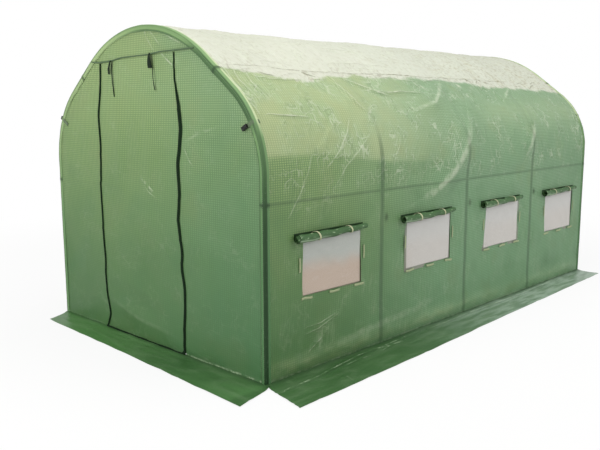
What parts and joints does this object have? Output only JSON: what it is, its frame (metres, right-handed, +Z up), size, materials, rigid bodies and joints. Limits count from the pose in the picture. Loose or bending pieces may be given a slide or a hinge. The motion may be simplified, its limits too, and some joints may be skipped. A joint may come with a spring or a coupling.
{
  "type": "polytunnel greenhouse",
  "caption": "Walk-in polytunnel greenhouse: steel hoops and purlins under a green mesh-reinforced sheet cover, with a zip door, screened side windows and ground flaps.",
  "frame": {"origin": "on the ground, midway along and midway across the tunnel", "axes": "+Y along the tunnel away from the door end, +X across it, +Z up"},
  "size_m": [2.66, 4.5, 2],
  "materials": {
    "cover_sheet": "glossy woven sheet",
    "ground_flap_sheet": "smooth sheet",
    "frame_tube": "powder coat",
    "window_mesh": "fine mesh",
    "rolled_sheet": "glossy woven sheet",
    "cream_webbing": "woven tape",
    "zip_tape": "woven tape",
    "edge_tape": "woven tape",
    "clip_plastic": "moulded"
  },
  "bodies": {
    "root": {"left_wall": "cover_sheet", "right_wall": "cover_sheet", "left_roof_shoulder": "cover_sheet", "right_roof_shoulder": "cover_sheet", "left_roof_haunch": "cover_sheet", "right_roof_haunch": "cover_sheet", "left_roof_crown": "cover_sheet", "right_roof_crown": "cover_sheet", "front_gable": "cover_sheet", "front_left_panel": "cover_sheet", "front_right_panel": "cover_sheet", "front_door": "cover_sheet", "back_gable": "cover_sheet", "back_wall": "cover_sheet", "front_ground_flap": "ground_flap_sheet", "back_ground_flap": "ground_flap_sheet", "left_ground_flap": "ground_flap_sheet", "right_ground_flap": "ground_flap_sheet", "left_hoop_legs": "frame_tube", "right_hoop_legs": "frame_tube", "left_hoop_shoulders": "frame_tube", "right_hoop_shoulders": "frame_tube", "left_hoop_rafters": "frame_tube", "right_hoop_rafters": "frame_tube", "left_side_purlin": "frame_tube", "right_side_purlin": "frame_tube", "left_shoulder_purlin": "frame_tube", "right_shoulder_purlin": "frame_tube", "left_ground_rail": "frame_tube", "right_ground_rail": "frame_tube", "ridge_purlin": "frame_tube", "left_window_screens": "window_mesh", "right_window_screens": "window_mesh", "left_window_rolls": "rolled_sheet", "right_window_rolls": "rolled_sheet", "left_roll_straps": "cream_webbing", "right_roll_straps": "cream_webbing", "left_window_tabs": "cream_webbing", "right_window_tabs": "cream_webbing", "door_left_zip": "zip_tape", "door_right_zip": "zip_tape", "door_hem": "zip_tape", "door_ties": "zip_tape", "front_edge_binding": "edge_tape", "back_edge_binding": "edge_tape", "front_seam": "edge_tape", "back_seam": "edge_tape", "left_edge_clips": "clip_plastic", "right_edge_clips": "clip_plastic"}
  },
  "joints": []
}
